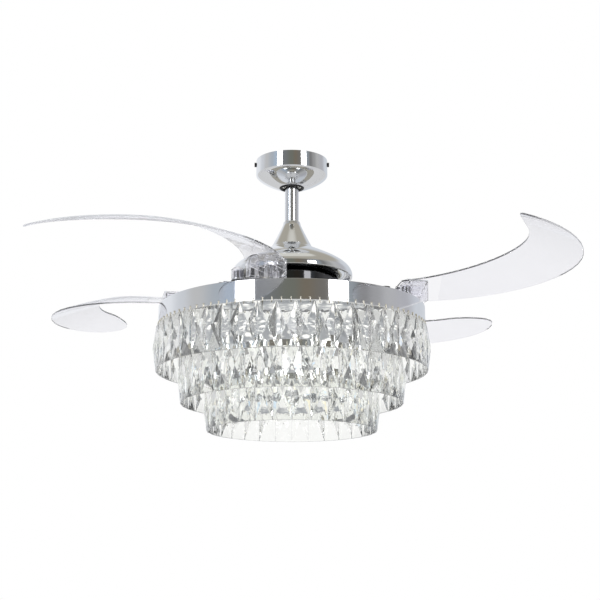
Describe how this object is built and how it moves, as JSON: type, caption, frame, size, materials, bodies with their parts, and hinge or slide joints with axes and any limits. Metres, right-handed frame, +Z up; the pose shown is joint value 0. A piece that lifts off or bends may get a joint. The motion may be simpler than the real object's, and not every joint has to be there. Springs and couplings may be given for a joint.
{
  "type": "ceiling fan",
  "caption": "Ceiling fan with clear curved blades that swing out of a chrome ring as the motor turns, over stepped tiers of cut-glass prisms round a light.",
  "frame": {"origin": "centre of the hanger bracket's ceiling face, on the fan's axis, between the two mounting slots", "axes": "+Z up, along the downrod; +X along the line of the bracket's two mounting slots"},
  "size_m": [1.0086, 1.0086, 0.536],
  "materials": {
    "chrome": "polished",
    "steel": "satin",
    "dark_metal": "semi-gloss black",
    "dark_rubber": "matt",
    "white_plastic": "matt",
    "white_metal": "gloss white",
    "led_yellow": "gloss",
    "copper": "enamelled wire",
    "bronze": "sintered",
    "clear_plastic": "clear gloss",
    "arm_alloy": "die cast",
    "cut_glass": "polished facets"
  },
  "bodies": {
    "ceiling_mount": {"hanger_bracket": "steel", "canopy": "chrome", "canopy_screws": "dark_metal", "canopy_grommet": "dark_rubber", "receiver": "white_plastic", "terminal_block": "white_plastic"},
    "hanging_frame": {"hanger_ball": "dark_metal", "ball_pin": "steel", "downrod": "chrome", "coupling_cover": "chrome", "yoke": "dark_metal", "yoke_pin": "steel", "pin_clip": "steel", "motor_dome": "chrome", "dome_screws": "steel", "motor_shaft": "steel", "bearing_inner_races": "steel", "bearing_balls": "chrome", "stator_core": "dark_metal", "stator_windings": "copper", "light_plate": "chrome", "shaft_nut": "steel", "chrome_ring": "chrome", "ring_screws": "steel", "led_board": "white_metal", "led_chips": "led_yellow", "led_driver": "white_plastic", "diffuser": "white_plastic", "hoop_2": "chrome", "hoop_3": "chrome", "hoop_rods": "chrome", "crystal_hooks": "chrome", "crystals_1": "cut_glass", "crystals_2": "cut_glass", "crystals_3": "cut_glass"},
    "rotor": {"rotor_can": "dark_metal", "magnets": "dark_metal", "rotor_plate": "steel", "plate_screws": "steel", "bearing_outer_races": "steel", "gear_retainer": "steel", "pivot_posts": "steel", "pivot_bushes": "bronze", "post_caps": "dark_metal", "stop_posts": "dark_metal", "return_springs": "steel"},
    "sync_ring": {"sync_gear": "white_plastic"},
    "folding_blade_1": {"blade_1": "clear_plastic", "blade_arm_1": "arm_alloy", "blade_screws_1": "dark_metal"},
    "folding_blade_2": {"blade_2": "clear_plastic", "blade_arm_2": "arm_alloy", "blade_screws_2": "dark_metal"},
    "folding_blade_3": {"blade_3": "clear_plastic", "blade_arm_3": "arm_alloy", "blade_screws_3": "dark_metal"},
    "folding_blade_4": {"blade_4": "clear_plastic", "blade_arm_4": "arm_alloy", "blade_screws_4": "dark_metal"}
  },
  "joints": [
    {"name": "hanger_swing", "type": "hinge", "parent": "ceiling_mount", "child": "hanging_frame", "pos_m": [0, 0, -0.033], "axis": [1, 0, 0], "range_deg": [-6, 6]},
    {"name": "rotor_spin", "type": "hinge", "parent": "hanging_frame", "child": "rotor", "pos_m": [0, 0, -0.299], "axis": [0, 0, 1], "continuous": true},
    {"name": "blade_1_fold", "type": "hinge", "parent": "rotor", "child": "folding_blade_1", "pos_m": [0.17401, -0.09448, -0.299], "axis": [0.0383, -0.0208, 0.999], "range_deg": [-151, 0], "deforming": ["return_springs"]},
    {"name": "blade_2_fold", "type": "hinge", "parent": "rotor", "child": "folding_blade_2", "pos_m": [0.09448, 0.17401, -0.299], "axis": [0.0208, 0.0383, 0.999], "range_deg": [-151, 0]},
    {"name": "blade_3_fold", "type": "hinge", "parent": "rotor", "child": "folding_blade_3", "pos_m": [-0.17401, 0.09448, -0.299], "axis": [-0.0383, 0.0208, 0.999], "range_deg": [-151, 0]},
    {"name": "blade_4_fold", "type": "hinge", "parent": "rotor", "child": "folding_blade_4", "pos_m": [-0.09448, -0.17401, -0.299], "axis": [-0.0208, -0.0383, 0.999], "range_deg": [-151, 0]},
    {"name": "sync_turn", "type": "hinge", "parent": "rotor", "child": "sync_ring", "pos_m": [0, 0, -0.299], "axis": [0, 0, 1], "range_deg": [0, 35.9]}
  ],
  "couplings": [
    {"joint": "blade_2_fold", "follows": "blade_1_fold", "ratio": 1},
    {"joint": "blade_3_fold", "follows": "blade_1_fold", "ratio": 1},
    {"joint": "blade_4_fold", "follows": "blade_1_fold", "ratio": 1},
    {"joint": "sync_turn", "follows": "blade_1_fold", "ratio": -0.2375}
  ]
}
